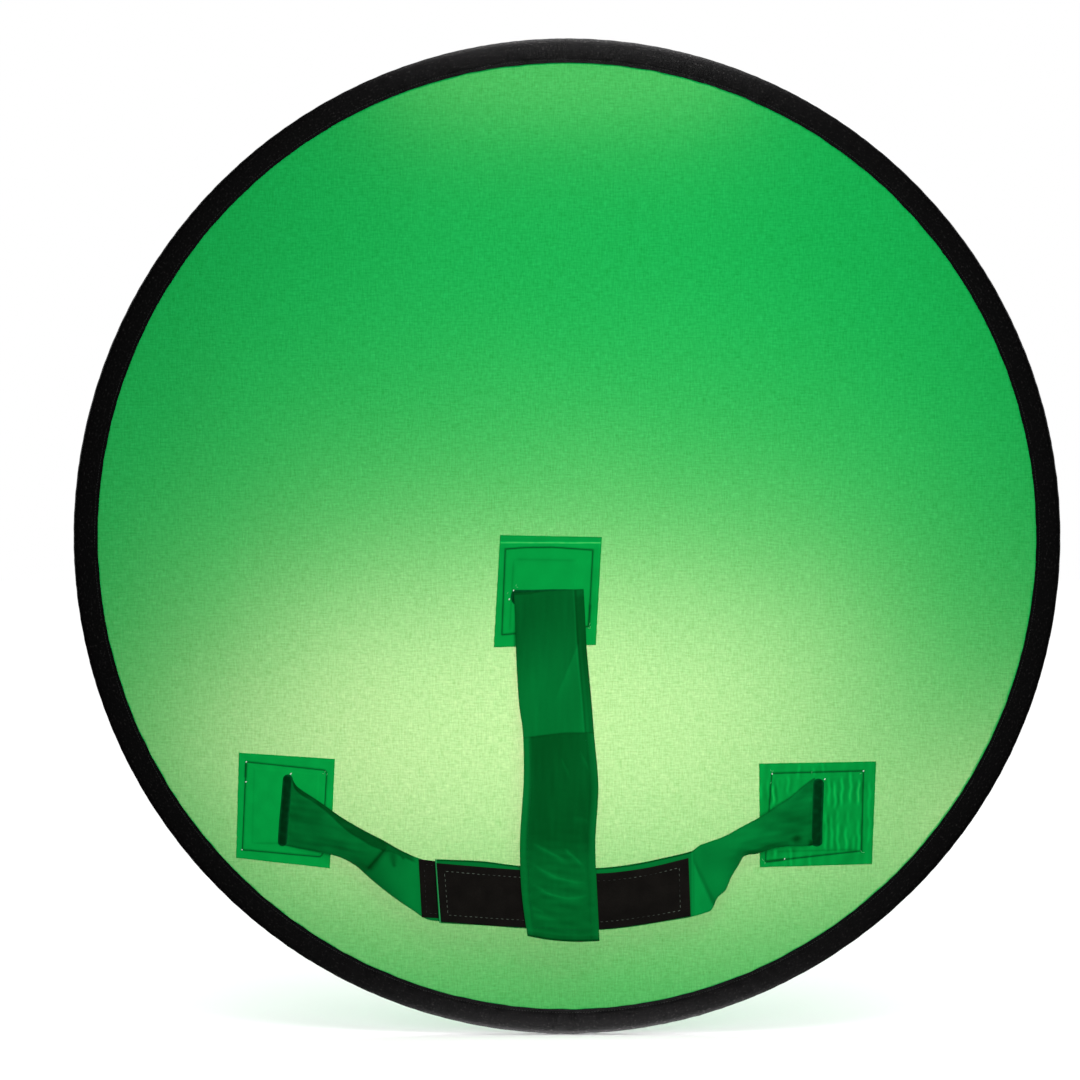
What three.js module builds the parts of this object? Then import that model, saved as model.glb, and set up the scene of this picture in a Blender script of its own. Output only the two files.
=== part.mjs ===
// Collapsible round backdrop disc with a three-strap chair harness.
// A flat spring-steel hoop in a fabric binding stretches a thin cloth panel. Three patches are
// sewn to the panel's front. A strap is sewn to each patch: the two side straps overlap to make a
// belt, and the centre strap hangs over the belt. Hook and loop tapes hold them together.
// Millimetres, +Z up. The disc stands upright in the XZ plane and its harness side faces -Y.
// Origin: centre of the disc, on the panel's rear face.
import * as THREE from 'three';

// ---- Driving dimensions ---------------------------------------------------------------------
const DISC_HEIGHT = 1420;          // over the binding
const DISC_WIDTH = 1408;           // the sprung hoop is a little narrower than it is tall
const BINDING_WIDTH = 35.5;          // binding, from its outer edge to its sewn inner edge
const BINDING_DEPTH = 13;          // binding's thickness round the hoop
const FLANGE_DEPTH = 5;            // binding's thickness where it grips the panel
const HOOP_BAND = 8;               // width of the spring-steel band, along Y
const HOOP_THICKNESS = 1.2;
const HOOP_INSET = 6;              // from the binding's outer edge to the band
const FERRULE_LENGTH = 42;
const PANEL_THICKNESS = 1;
const CLOTH = 1;                   // straps
const TAPE = 1.6;                  // hook tape and loop tape
const THREAD = 0.8;
const GAP = 0.4;                   // between pieces that touch
const BELT_STANDOFF = 31;          // how far the belt bows out in front of the panel
const ROUND_STEPS = 72;            // facets round the disc

// ---- Layers in front of the panel, as distances towards -Y -----------------------------------
const PANEL_FRONT = PANEL_THICKNESS;
const INTERFACING_BACK = PANEL_FRONT + GAP;
const INTERFACING = 0.6;
const PATCH_BACK = INTERFACING_BACK + INTERFACING + GAP;
const PATCH = 0.8;
const SEWN_BACK = PATCH_BACK + PATCH + GAP;      // whatever is sewn on a patch starts here
const BAR = 2;                                   // folded strap end

// ---- Belt and centre strap in depth ----------------------------------------------------------
const BELT_MIDDLE = -22;
const BELT_HALF = 374;
const OVERLAP_START = 12;                        // right of here the right strap is on its own
const RIGHT_ROOT = 349;
const TAPE_LIFT = TAPE + GAP;
const THREAD_LIFT = THREAD + GAP;
const FRONT_STACK = CLOTH + GAP + TAPE_LIFT + THREAD_LIFT;  // a side strap, its tape and its thread
const RIGHT_LIFT = FRONT_STACK + TAPE_LIFT;      // puts the right strap's own hook tape in front
const CENTRE_ROOT_Z = -76;
const CENTRE_SETTLED_Z = -440;                   // from here down the centre strap lies on the belt

function smooth(low, high, value) {
  const t = THREE.MathUtils.clamp((value - low) / (high - low), 0, 1);
  return t * t * (3 - 2 * t);
}

function leftStrapDepth(x) {
  const across = (x - BELT_MIDDLE) / BELT_HALF;
  return SEWN_BACK + BELT_STANDOFF * Math.max(0, 1 - across * across);
}

function rightStrapDepth(x) {
  return leftStrapDepth(x) + RIGHT_LIFT * smooth(RIGHT_ROOT, OVERLAP_START, x);
}

const BELT_FRONT = SEWN_BACK + BELT_STANDOFF + RIGHT_LIFT + FRONT_STACK;
const CENTRE_REST = BELT_FRONT + TAPE_LIFT;      // the centre strap's hook tape is behind it
const CENTRE_START = SEWN_BACK + BAR - 0.6 + GAP;

function centreStrapDepth(z) {
  return CENTRE_START + (CENTRE_REST - CENTRE_START) * smooth(CENTRE_ROOT_Z, CENTRE_SETTLED_Z, z);
}

// ---- Outlines seen from the harness side, as [x, z] -------------------------------------------
const PATCHES = {
  centre: [[-95.5, 1.4], [49.9, -1.4], [41.3, -155.4], [-104.6, -158.8]],
  left: [[-468, -309], [-331, -318], [-338, -474], [-472, -459]],
  right: [[274, -324.5], [441, -321.5], [435, -468], [275, -472.5]],
};
const PATCH_SEAMS = {
  centre: [[-88, -18], [37, -20], [31, -129], [-93, -141]],
  left: [[-457.6, -322], [-342.6, -335], [-349.4, -458], [-463, -447.5]],
  right: [[292, -338.5], [423, -335], [420, -449], [283, -464.5]],
};
const SEAM_BARS = {
  centre: [[-79, -77], [23, -77], [23.4, -90], [-78, -90]],
  left: [[-404, -339.5], [-391, -340.6], [-399.5, -442.4], [-412.6, -441.8]],
  right: [[351, -346], [366, -346], [363, -443], [347, -442]],
};
const LEFT_STRAP = {
  upper: [[-390, -340.5], [-384.5, -356.5], [-362, -371.8], [-334.4, -390.5], [-275.6, -426.5], [-233.6, -447.5],
    [-179.8, -459.8], [-89.5, -467.1], [9.5, -471.4]],
  lower: [[-398.5, -441.4], [-337.9, -454.4], [-293.7, -471.5], [-233.6, -521.4], [-195.7, -543.7], [-89.5, -549.8],
    [9.5, -552.6]],
};
const RIGHT_STRAP = {
  upper: [[349.9, -346], [293.7, -383.6], [235.3, -420.4], [189.2, -436.6], [136.3, -455.2], [41.1, -468.7],
    [-66.7, -465.5], [-118.7, -459.4], [-187, -456.8]],
  lower: [[345.8, -440.8], [302.8, -443.5], [251.4, -454.5], [222.3, -502.7], [204.8, -529.9], [177.2, -539.2],
    [45, -556.2], [-59.8, -554], [-181, -547]],
};
const CENTRE_STRAP = {
  left: [[-78.9, -75.9], [-72.9, -158.5], [-67.8, -241.4], [-61.7, -347], [-66.6, -434.2], [-63.2, -509.2], [-56.3, -563.4]],
  right: [[23.6, -75.9], [27.8, -157.5], [34.5, -232.5], [43.8, -347], [39.9, -439.1], [42.9, -521], [45.4, -570.8]],
};
const LEFT_TAPE = {
  upper: [[-209.5, -459.5], [-89.5, -470.8], [3.6, -475.1]],
  lower: [[-205, -539.5], [-89.5, -545.5], [3.6, -548.4]],
};
const RIGHT_FRONT_TAPE = {
  upper: [[-184.8, -462.2], [-68, -471], [41, -476.6], [108.4, -469.6], [171.6, -455.4]],
  lower: [[-178.5, -545.2], [-59.7, -552.4], [45, -555], [108.4, -548.4], [174.8, -538]],
};
const RIGHT_REAR_TAPE = {
  upper: [[-181.6, -467.5], [-109.2, -471.9], [-30.1, -474.6]],
  lower: [[-175.6, -540.7], [-109.2, -544.1], [-30.1, -546.8]],
};
const CENTRE_TAPE = {
  left: [[-61.3, -281.6], [-57.3, -347.1], [-61.7, -434.3], [-58.2, -509.3], [-52.3, -558.6]],
  right: [[34.4, -281.6], [38.9, -347.1], [35, -439.2], [38, -521.1], [40, -563.6]],
};
const SEAM_INSET = 12;             // tape stitching, in from the tape's edges

// ---- Materials --------------------------------------------------------------------------------
const PANEL_GREEN = { color: 0x4fbf55, roughness: 0.85, metalness: 0 };
const NYLON_GREEN = { color: 0x06923c, roughness: 0.55, metalness: 0 };
const STRAP_GREEN = { color: 0x036a2f, roughness: 0.5, metalness: 0 };
const BINDING_BLACK = { color: 0x0c0b0b, roughness: 0.8, metalness: 0 };
const TAPE_BLACK = { color: 0x12100e, roughness: 0.95, metalness: 0 };
const THREAD_GREEN = { color: 0x046026, roughness: 0.6, metalness: 0 };
const THREAD_BLACK = { color: 0x1a1a1a, roughness: 0.6, metalness: 0 };
const SPRING_STEEL = { color: 0x8d9094, roughness: 0.35, metalness: 1 };

const disc = new THREE.Group();

function addPiece(name, geometry, finish) {
  const mesh = new THREE.Mesh(geometry, new THREE.MeshStandardMaterial(finish));
  mesh.name = name;
  disc.add(mesh);
}

// ---- Geometry helpers -------------------------------------------------------------------------
// A solid of revolution about Y from a closed profile of [radius, y], squeezed to the hoop's oval.
function ring(profile) {
  const points = profile.map(([radius, y]) => new THREE.Vector2(radius, y));
  const geometry = new THREE.LatheGeometry(points, ROUND_STEPS);
  geometry.scale(DISC_WIDTH / DISC_HEIGHT, 1, 1);
  return geometry;
}

function outline(corners) {
  return corners.map(([x, z]) => new THREE.Vector2(x, z));
}

// A flat piece: its outline in XZ, made solid from `back` towards -Y.
function plate(shape, back, thickness) {
  const geometry = new THREE.ExtrudeGeometry(shape, { depth: thickness, bevelEnabled: false,
    curveSegments: ROUND_STEPS });
  geometry.rotateX(Math.PI / 2);
  geometry.translate(0, -back, 0);
  return geometry;
}

// The corners of a polygon whose sides are moved inwards by `distance`.
function inset(corners, distance) {
  const count = corners.length;
  const turn = Math.sign(THREE.ShapeUtils.area(outline(corners)));
  return corners.map((corner, i) => {
    const here = new THREE.Vector2(...corner);
    const back = new THREE.Vector2(...corners[(i + count - 1) % count]).sub(here).normalize();
    const ahead = new THREE.Vector2(...corners[(i + 1) % count]).sub(here).normalize();
    const sine = turn * ahead.cross(back);
    return here.add(back.add(ahead).multiplyScalar(distance / sine)).toArray();
  });
}

// A run of thread that closes on itself, as a flat loop of the outline's shape.
function threadLoop(corners, back) {
  const shape = new THREE.Shape(outline(corners));
  shape.holes.push(new THREE.Path(outline(inset(corners, THREAD)).reverse()));
  return plate(shape, back, THREAD);
}

function edgeCurve(points) {
  return new THREE.CatmullRomCurve3(points.map(([x, z]) => new THREE.Vector3(x, 0, z)), false,
    'centripetal');
}

// A strip of cloth or tape between two edges. depthAt gives the distance of its back face in front
// of the panel's rear face, and the strip is solid from there towards -Y.
function strip(edgeA, edgeB, depthAt, thickness, steps) {
  const curves = [edgeCurve(edgeA), edgeCurve(edgeB)];
  const positions = [];
  for (let i = 0; i <= steps; i += 1) {
    const rows = curves.map((curve) => curve.getPointAt(i / steps));
    for (const extra of [0, thickness]) {
      for (const { x, z } of rows) positions.push(x, -depthAt(x, z) - extra, z);
    }
  }
  // Corners of one section: 0 back edge A, 1 back edge B, 2 front edge A, 3 front edge B.
  const around = [0, 1, 3, 2];
  const index = [0, 1, 3, 0, 3, 2];
  for (let i = 0; i < steps; i += 1) {
    around.forEach((corner, k) => {
      const a = i * 4 + corner;
      const b = i * 4 + around[(k + 1) % 4];
      index.push(a, b + 4, b, a, a + 4, b + 4);
    });
  }
  const last = steps * 4;
  index.push(last, last + 3, last + 1, last, last + 2, last + 3);
  const geometry = new THREE.BufferGeometry();
  geometry.setAttribute('position', new THREE.Float32BufferAttribute(positions, 3));
  geometry.setIndex(index);
  return geometry;
}

// The line of stitching on a tape between two edges: a closed row of points, `distance` in from
// all four sides of the tape.
function seamLine(edgeA, edgeB, distance, steps) {
  const curves = [edgeCurve(edgeA), edgeCurve(edgeB)];
  const along = distance / curves[0].getLength();
  const width = curves[0].getPointAt(0).distanceTo(curves[1].getPointAt(0));
  const side = (near, far) => Array.from({ length: steps + 1 }, (_, i) => {
    const share = along + (1 - 2 * along) * i / steps;
    return near.getPointAt(share).lerp(far.getPointAt(share), distance / width);
  });
  return [...side(...curves), ...side(curves[1], curves[0]).reverse()];
}

// A closed loop of thread that follows a bent tape.
function bentThreadLoop(edgeA, edgeB, depthAt, steps) {
  const outer = seamLine(edgeA, edgeB, SEAM_INSET, steps);
  const inner = seamLine(edgeA, edgeB, SEAM_INSET + THREAD, steps);
  const positions = [];
  outer.forEach((point, i) => {
    for (const { x, z } of [point, inner[i]]) {
      const back = -depthAt(x, z);
      positions.push(x, back, z, x, back - THREAD, z);
    }
  });
  // Corners of one section: 0 outer back, 1 outer front, 2 inner back, 3 inner front.
  const around = [0, 1, 3, 2];
  const index = [];
  outer.forEach((_, i) => {
    const next = (i + 1) % outer.length;
    around.forEach((corner, k) => {
      const other = around[(k + 1) % 4];
      const [a, b, c, d] = [i * 4 + corner, i * 4 + other, next * 4 + other, next * 4 + corner];
      index.push(a, b, c, a, c, d);
    });
  });
  const geometry = new THREE.BufferGeometry();
  geometry.setAttribute('position', new THREE.Float32BufferAttribute(positions, 3));
  geometry.setIndex(index);
  return geometry;
}

// ---- Disc -------------------------------------------------------------------------------------
const RADIUS = DISC_HEIGHT / 2;
const MID = -PANEL_THICKNESS / 2;
const BAND_RADIUS = RADIUS - HOOP_INSET;
const PANEL_RADIUS = RADIUS - 12;
const MOUNT_FACET = 40;            // small flat facets at the middle of the panel

function addHoop() {
  const squeeze = DISC_WIDTH / DISC_HEIGHT;
  const halfGap = 1 / BAND_RADIUS;               // the band's ends stand 2 mm apart
  const start = -Math.PI / 2 + halfGap;
  const end = Math.PI * 1.5 - halfGap;
  const band = new THREE.Shape();
  band.absarc(0, 0, BAND_RADIUS, start, end, false);
  band.absarc(0, 0, BAND_RADIUS - HOOP_THICKNESS, end, start, true);
  const hoop = plate(band, -MID - HOOP_BAND / 2, HOOP_BAND);
  hoop.scale(squeeze, 1, 1);
  addPiece('steel_hoop', hoop, SPRING_STEEL);

  // Crimped sleeve over the two ends of the band, at the bottom of the disc.
  const clear = 1.2;
  const wall = 0.5;
  const halfTall = HOOP_THICKNESS / 2 + clear;
  const halfWide = HOOP_BAND / 2 + GAP;
  const rectangle = (x, y) => outline([[-x, -y], [x, -y], [x, y], [-x, y]]);
  const section = new THREE.Shape(rectangle(halfWide + wall, halfTall + wall));
  section.holes.push(new THREE.Path(rectangle(halfWide, halfTall)));
  const sleeve = new THREE.ExtrudeGeometry(section, { depth: FERRULE_LENGTH, bevelEnabled: false });
  sleeve.translate(0, 0, -FERRULE_LENGTH / 2);
  sleeve.rotateX(Math.PI / 2);
  sleeve.rotateZ(Math.PI / 2);
  sleeve.translate(0, MID, -(BAND_RADIUS - HOOP_THICKNESS / 2));
  addPiece('hoop_ferrule', sleeve, SPRING_STEEL);
}

function addPanel() {
  addPiece('backdrop_panel', ring([
    [0, -PANEL_FRONT],
    [MOUNT_FACET, -PANEL_FRONT],
    [PANEL_RADIUS, -PANEL_FRONT],
    [PANEL_RADIUS, 0],
    [MOUNT_FACET, 0],
    [0, 0],
  ]), PANEL_GREEN);
}

// The binding is a folded sleeve: a round pocket for the hoop, then two flanges that grip the
// panel. Its section is open inwards, where the panel comes out.
function addBinding() {
  const bulge = BINDING_DEPTH / 2;
  const wall = 1;
  const flange = FLANGE_DEPTH / 2;
  const slot = PANEL_THICKNESS / 2 + GAP;
  const inner = RADIUS - BINDING_WIDTH;
  // Front half from the sewn edge outwards, as [radius, distance from the panel's middle].
  const outside = [
    [inner, flange - 0.5],
    [inner + 7, flange],
    [inner + 18.5, flange],
    [inner + 25.5, bulge],
    [RADIUS - 3, bulge],
    [RADIUS, bulge - 3],
  ];
  const inside = [
    [RADIUS - 1.2, bulge - 3.4],
    [RADIUS - 3.4, bulge - wall],
    [inner + 26.1, bulge - wall],
    [inner + 19.1, slot],
    [inner, slot],
  ];
  const front = ([radius, depth]) => [radius, MID - depth];
  const rear = ([radius, depth]) => [radius, MID + depth];
  const profile = [
    ...outside.map(front),
    ...outside.slice().reverse().map(rear),
    ...inside.slice().reverse().map(rear),
    ...inside.map(front),
  ];
  profile.push(profile[0]);
  addPiece('rim_binding', ring(profile), BINDING_BLACK);

  // The lockstitch seam through both flanges: needle thread in front, bobbin thread behind.
  const seamRadius = inner + 3;
  const seam = flange - 0.3 + GAP;
  const threadRing = (low, high) => ring([
    [seamRadius, low],
    [seamRadius + THREAD, low],
    [seamRadius + THREAD, high],
    [seamRadius, high],
    [seamRadius, low],
  ]);
  addPiece('rim_needle_thread', threadRing(MID - seam - THREAD, MID - seam), THREAD_BLACK);
  addPiece('rim_bobbin_thread', threadRing(MID + seam, MID + seam + THREAD), THREAD_BLACK);
}

function addPatches() {
  for (const [place, corners] of Object.entries(PATCHES)) {
    const backing = new THREE.Shape(outline(inset(corners, 22)));
    addPiece(`${place}_patch_interfacing`, plate(backing, INTERFACING_BACK, INTERFACING), NYLON_GREEN);
    const patch = new THREE.Shape(outline(corners));
    addPiece(`${place}_patch`, plate(patch, PATCH_BACK, PATCH), NYLON_GREEN);
    addPiece(`${place}_patch_thread`, threadLoop(PATCH_SEAMS[place], SEWN_BACK), THREAD_GREEN);
    const bar = new THREE.Shape(outline(SEAM_BARS[place]));
    const thickness = place === 'centre' ? BAR - 0.6 : BAR;
    addPiece(`${place}_seam_bar`, plate(bar, SEWN_BACK, thickness), STRAP_GREEN);
  }
}

// ---- Straps -----------------------------------------------------------------------------------
function addStraps() {
  const { upper: leftUpper, lower: leftLower } = LEFT_STRAP;
  addPiece('left_strap', strip(leftUpper, leftLower, leftStrapDepth, CLOTH, 24), STRAP_GREEN);
  const onLeft = (x) => leftStrapDepth(x) + CLOTH + GAP;
  const onLeftTape = (x) => onLeft(x) + TAPE + GAP;
  addPiece('left_loop_tape', strip(LEFT_TAPE.upper, LEFT_TAPE.lower, onLeft, TAPE, 12), TAPE_BLACK);
  addPiece('left_tape_thread', bentThreadLoop(LEFT_TAPE.upper, LEFT_TAPE.lower, onLeftTape, 12),
    THREAD_BLACK);

  const { upper: rightUpper, lower: rightLower } = RIGHT_STRAP;
  addPiece('right_strap', strip(rightLower, rightUpper, rightStrapDepth, CLOTH, 30), STRAP_GREEN);
  const onRight = (x) => rightStrapDepth(x) + CLOTH + GAP;
  const onRightTape = (x) => onRight(x) + TAPE + GAP;
  const behindRight = (x) => rightStrapDepth(x) - TAPE_LIFT;
  const { upper: frontUpper, lower: frontLower } = RIGHT_FRONT_TAPE;
  const { upper: rearUpper, lower: rearLower } = RIGHT_REAR_TAPE;
  addPiece('right_loop_tape', strip(frontUpper, frontLower, onRight, TAPE, 16), TAPE_BLACK);
  addPiece('right_hook_tape', strip(rearUpper, rearLower, behindRight, TAPE, 10), TAPE_BLACK);
  addPiece('right_tape_thread', bentThreadLoop(frontUpper, frontLower, onRightTape, 16),
    THREAD_BLACK);

  const { left, right } = CENTRE_STRAP;
  const onBelt = (x, z) => centreStrapDepth(z);
  const behindCentre = (x, z) => onBelt(x, z) - TAPE_LIFT;
  const onCentre = (x, z) => onBelt(x, z) + CLOTH + GAP;
  addPiece('centre_strap', strip(right, left, onBelt, CLOTH, 24), STRAP_GREEN);
  addPiece('centre_hook_tape', strip(CENTRE_TAPE.right, CENTRE_TAPE.left, behindCentre, TAPE, 16),
    TAPE_BLACK);
  addPiece('centre_tape_thread',
    bentThreadLoop(CENTRE_TAPE.right, CENTRE_TAPE.left, onCentre, 16), THREAD_GREEN);
}

addHoop();
addPanel();
addBinding();
addPatches();
addStraps();

export default disc;
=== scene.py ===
"""Looks of the collapsible round backdrop: a black bound spring hoop, a translucent green cloth
panel, three sewn patches, and three straps with hook and loop tapes. Lengths in the tables below
are in millimetres, seen from the harness side: x to the right, z up, depth towards the viewer (-Y).
"""

import math

import bpy
import numpy as np
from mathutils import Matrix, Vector


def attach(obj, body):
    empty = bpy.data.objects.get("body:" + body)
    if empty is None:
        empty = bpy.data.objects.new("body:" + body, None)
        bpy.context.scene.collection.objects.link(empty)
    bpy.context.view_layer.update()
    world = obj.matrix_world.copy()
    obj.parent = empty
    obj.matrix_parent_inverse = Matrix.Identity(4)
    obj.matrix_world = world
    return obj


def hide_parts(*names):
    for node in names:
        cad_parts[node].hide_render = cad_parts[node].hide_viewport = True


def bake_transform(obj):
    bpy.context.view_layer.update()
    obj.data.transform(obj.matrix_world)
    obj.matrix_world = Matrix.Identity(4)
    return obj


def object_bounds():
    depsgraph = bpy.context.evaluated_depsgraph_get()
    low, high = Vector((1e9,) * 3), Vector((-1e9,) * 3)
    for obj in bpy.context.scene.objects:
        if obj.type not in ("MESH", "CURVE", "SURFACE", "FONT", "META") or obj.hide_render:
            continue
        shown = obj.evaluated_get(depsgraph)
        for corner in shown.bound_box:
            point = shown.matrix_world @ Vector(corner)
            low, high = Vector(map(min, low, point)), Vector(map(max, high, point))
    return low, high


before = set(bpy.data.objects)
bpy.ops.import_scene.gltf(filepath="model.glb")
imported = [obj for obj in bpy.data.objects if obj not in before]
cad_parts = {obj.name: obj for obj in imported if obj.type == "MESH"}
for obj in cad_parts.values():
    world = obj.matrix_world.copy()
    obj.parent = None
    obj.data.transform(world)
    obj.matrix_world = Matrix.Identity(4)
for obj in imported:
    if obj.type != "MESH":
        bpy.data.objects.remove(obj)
cad_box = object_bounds()

MM = 0.001

# ---- The disc
RADIUS = 710.0
SQUEEZE = 1408.0 / 1420.0  # the sprung hoop is a little narrower than it is tall
PANEL_MIDDLE = 0.5  # depth of the middle of the panel's cloth
PANEL_RADIUS = 697.0

# ---- Layers in front of the panel, as in the frame
INTERFACING_BACK = 1.4
PATCH_BACK = 2.4
PATCH_CLOTH = 0.55
SEWN_BACK = 3.6
CLOTH = 1.0
TAPE = 1.6
GAP = 0.4
ON_CLOTH = CLOTH + GAP
TAPE_LIFT = TAPE + GAP
FRONT_STACK = ON_CLOTH + TAPE_LIFT + 1.2
RIGHT_LIFT = FRONT_STACK + TAPE_LIFT
BELT_STANDOFF = 31.0
CENTRE_START = 5.4
CENTRE_REST = SEWN_BACK + BELT_STANDOFF + RIGHT_LIFT + FRONT_STACK + TAPE_LIFT
PILE_TOP = ON_CLOTH + 1.0
FRONT = PATCH_BACK + 1.3  # where the thread ends lie on a patch
ON_BAR = SEWN_BACK + 1.6  # and on the sewn end of a strap

# ---- Stitches: pitch, length, thickness
RIM_STITCH = (4.0, 3.2, 0.75)
PATCH_STITCH = (3.1, 2.8, 1.1)
LEFT_STITCH = (7.2, 4.0, 0.8)
RIGHT_STITCH = (7.4, 4.2, 0.9)
CENTRE_STITCH = (3.6, 2.9, 0.7)
STITCH_WANDER = 0.25  # how far a stitch's ends may lie off its line

PATCH_FRAY = 0.15  # raggedness of a cut edge
SHARP_ANGLE = 50  # degrees; smoother edges are shaded as one surface


def smooth(low, high, value):
    t = np.clip((value - low) / (high - low), 0, 1)
    return t * t * (3 - 2 * t)


def left_depth(x, z):
    return SEWN_BACK + BELT_STANDOFF * np.maximum(0, 1 - ((x + 22) / 374) ** 2)


def right_depth(x, z):
    return left_depth(x, z) + RIGHT_LIFT * smooth(349, 12, x)


def centre_depth(x, z):
    return CENTRE_START + (CENTRE_REST - CENTRE_START) * smooth(-76, -440, z)


STRAPS = {  # the body and the depth of each strap's back
    "left": ("left_belt", left_depth), "right": ("right_belt", right_depth), "centre": ("centre_flap", centre_depth),
}


# ---- Outlines
PATCHES = {
    "centre": [(-95.5, 1.4), (49.9, -1.4), (41.3, -155.4), (-104.6, -158.8)],
    "left": [(-468, -309), (-331, -318), (-338, -474), (-472, -459)],
    "right": [(274, -324.5), (441, -321.5), (435, -468), (275, -472.5)],
}
PATCH_SEAMS = {
    "centre": [(-88, -18.6), (-60, -16.4), (-20, -16), (37, -20), (31, -129), (-93, -141)],
    "left": [(-457.6, -322), (-346, -334), (-342.8, -337), (-349, -455), (-353, -457.6), (-463, -447.5)],
    "right": [(292, -338.5), (423, -335), (420, -449), (283, -464.5)],
}
INTERFACINGS = {
    "centre": [(-76, -33), (16, -35), (9, -132), (-82, -137)],
    "left": [(-446, -331), (-354, -340), (-359, -439), (-449, -438)],
    "right": [(297, -346), (419, -343), (413, -447), (297, -450)],
}
BACKSTITCHES = {  # where each row of stitching was run over twice: its two ends
    "centre": ((33, -98), (31.2, -128)), "left": ((-457.9, -325), (-458.9, -344)),
    "right": ((284, -464.4), (310, -461.5)),
}
PATCH_TRAITS = {  # seed of its ripples, overall painted shade (the left patch painted lighter, where more light falls), sides of the interfacing edged with painted shade
    "centre": (21, 0.47, ((0, 1), (3, 0))), "left": (31, 0.28, ((2, 3),)), "right": (41, 0.45, ((2, 3),)),
}
SEAM_BARS = {
    "centre": [(-80.5, -77.4), (23.4, -76.6), (23.4, -90), (-79.5, -97.5)],
    "left": [(-404, -339.5), (-391, -340.6), (-399.5, -442.4), (-412.6, -441.8)],
    "right": [(351, -346), (366, -346), (363, -443), (347, -442)],
}
# Each strap: pairs of points on its two edges, from its sewn root to its free end.
LEFT_STATIONS = [
    (-393, -342.5, -402.5, -441.3), (-388.6, -351.5, -396, -442.4), (-384.5, -357, -388, -443.8),
    (-376.5, -363, -380, -445.5), (-358, -374.5, -363, -448.2), (-335.6, -389.6, -343.5, -451.8),
    (-320.6, -399.9, -325, -456.1), (-296, -414, -308.2, -463.6), (-275.6, -424.5, -296, -471.6),
    (-260.6, -431.8, -281.6, -484.3), (-244.8, -440.9, -260.6, -501.4), (-228.4, -449, -238.6, -517.5),
    (-211.1, -456.3, -217.7, -531.1), (-193.8, -460.8, -198.7, -542.8), (-149, -464.4, -149, -547.2),
    (-89.5, -467.6, -89.5, -549.8), (9.5, -471.4, 9.5, -552.6),
]
RIGHT_STATIONS = [
    (353.5, -344.5, 350, -441.1), (349.9, -346.5, 345.8, -441.3), (336.3, -356.3, 332.2, -441.5),
    (317.7, -371.6, 318, -441.4), (298.8, -383.2, 302.8, -442.5), (277.6, -397.2, 287.7, -446),
    (260.4, -406.4, 270.5, -451.3), (245.9, -413.7, 251.9, -454.5), (230.3, -422.3, 243.1, -467.3),
    (217.2, -428.1, 232.8, -484), (203.2, -432.8, 224.3, -502.7), (196, -435.2, 213, -513),
    (188.6, -437.6, 204.9, -529.6), (182.5, -441.8, 197.5, -533.4), (175.6, -446.3, 177.2, -539),
    (136.3, -455.2, 136.3, -545.4), (94.6, -463.2, 94.6, -551.7), (41.1, -468.7, 45, -556.2),
    (-66.7, -465.5, -59.8, -554), (-118.7, -459.4, -112, -550.5), (-187, -456.8, -181, -547),
]
CENTRE_STATIONS = [
    (23.6, -75.7, -75.9, -80.9), (25.4, -109.8, -74.1, -109.8), (27.8, -157.5, -72.9, -158.5),
    (34.5, -232.5, -68.2, -238.4), (37.9, -277.6, -62.8, -277.6), (43.8, -347, -61.7, -347),
    (43, -378.2, -64.2, -385.1), (39.9, -422.4, -66.6, -424.3), (39.9, -455.9, -66.6, -462.8),
    (42.9, -521, -63.2, -513.1), (45.4, -570.3, -56.3, -563.4),
]
LEFT_TAPE = [(-210.5, -457.7, -205.9, -540), (-89.5, -470.3, -89.5, -545.5), (3.6, -474.1, 3.6, -547.9)]
RIGHT_FRONT_TAPE = [
    (-184.8, -462.2, -178.5, -545.2), (-68, -471, -59.7, -552.4), (41, -476.3, 45, -555),
    (108.4, -469.5, 108.4, -548.4), (171.6, -455.7, 174.8, -538),
]
RIGHT_REAR_TAPE = [
    (-181.1, -468.4, -175.1, -540.2), (-109.2, -472.9, -109.2, -544.1), (-30.1, -475.6, -30.1, -546.3),
]
CENTRE_TAPE = [
    (34.4, -282.1, -60.8, -282.1), (38.9, -347.1, -57.3, -347.1), (35.5, -439.2, -61.7, -434.3),
    (38, -521.1, -58.2, -509.3), (40, -562.6, -52.3, -558.1),
]


# ---- Mesh helpers
def put(name, data):
    made = bpy.data.objects.new(name, data)
    bpy.context.scene.collection.objects.link(made)
    return made


def make_object(name, verts, faces, material, shade=None, uvs=None, sharp=SHARP_ANGLE):
    """verts in millimetres as (x, depth, z); depth becomes -Y."""
    points = verts * (1, -1, 1) * MM
    mesh = bpy.data.meshes.new(name)
    mesh.from_pydata(points.tolist(), [], faces)
    mesh.update()
    mesh.polygons.foreach_set("use_smooth", np.ones(len(mesh.polygons), bool))
    if sharp:
        mesh.set_sharp_from_angle(angle=math.radians(sharp))
    if shade is not None:
        mesh.attributes.new("shade", "FLOAT", "POINT").data.foreach_set("value", shade.astype(np.float32))
    if uvs is not None:
        layer = mesh.uv_layers.new(name="cloth")
        loops = np.zeros(len(mesh.loops), np.int32)
        mesh.loops.foreach_get("vertex_index", loops)
        layer.data.foreach_set("uv", np.asarray(uvs, np.float32)[loops].ravel())
    mesh.materials.append(material)
    return put(name, mesh)


def stands_for(piece, node, body="screen"):
    """The piece rides on the body and replaces the frame's node."""
    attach(piece, body)
    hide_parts(node)


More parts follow.
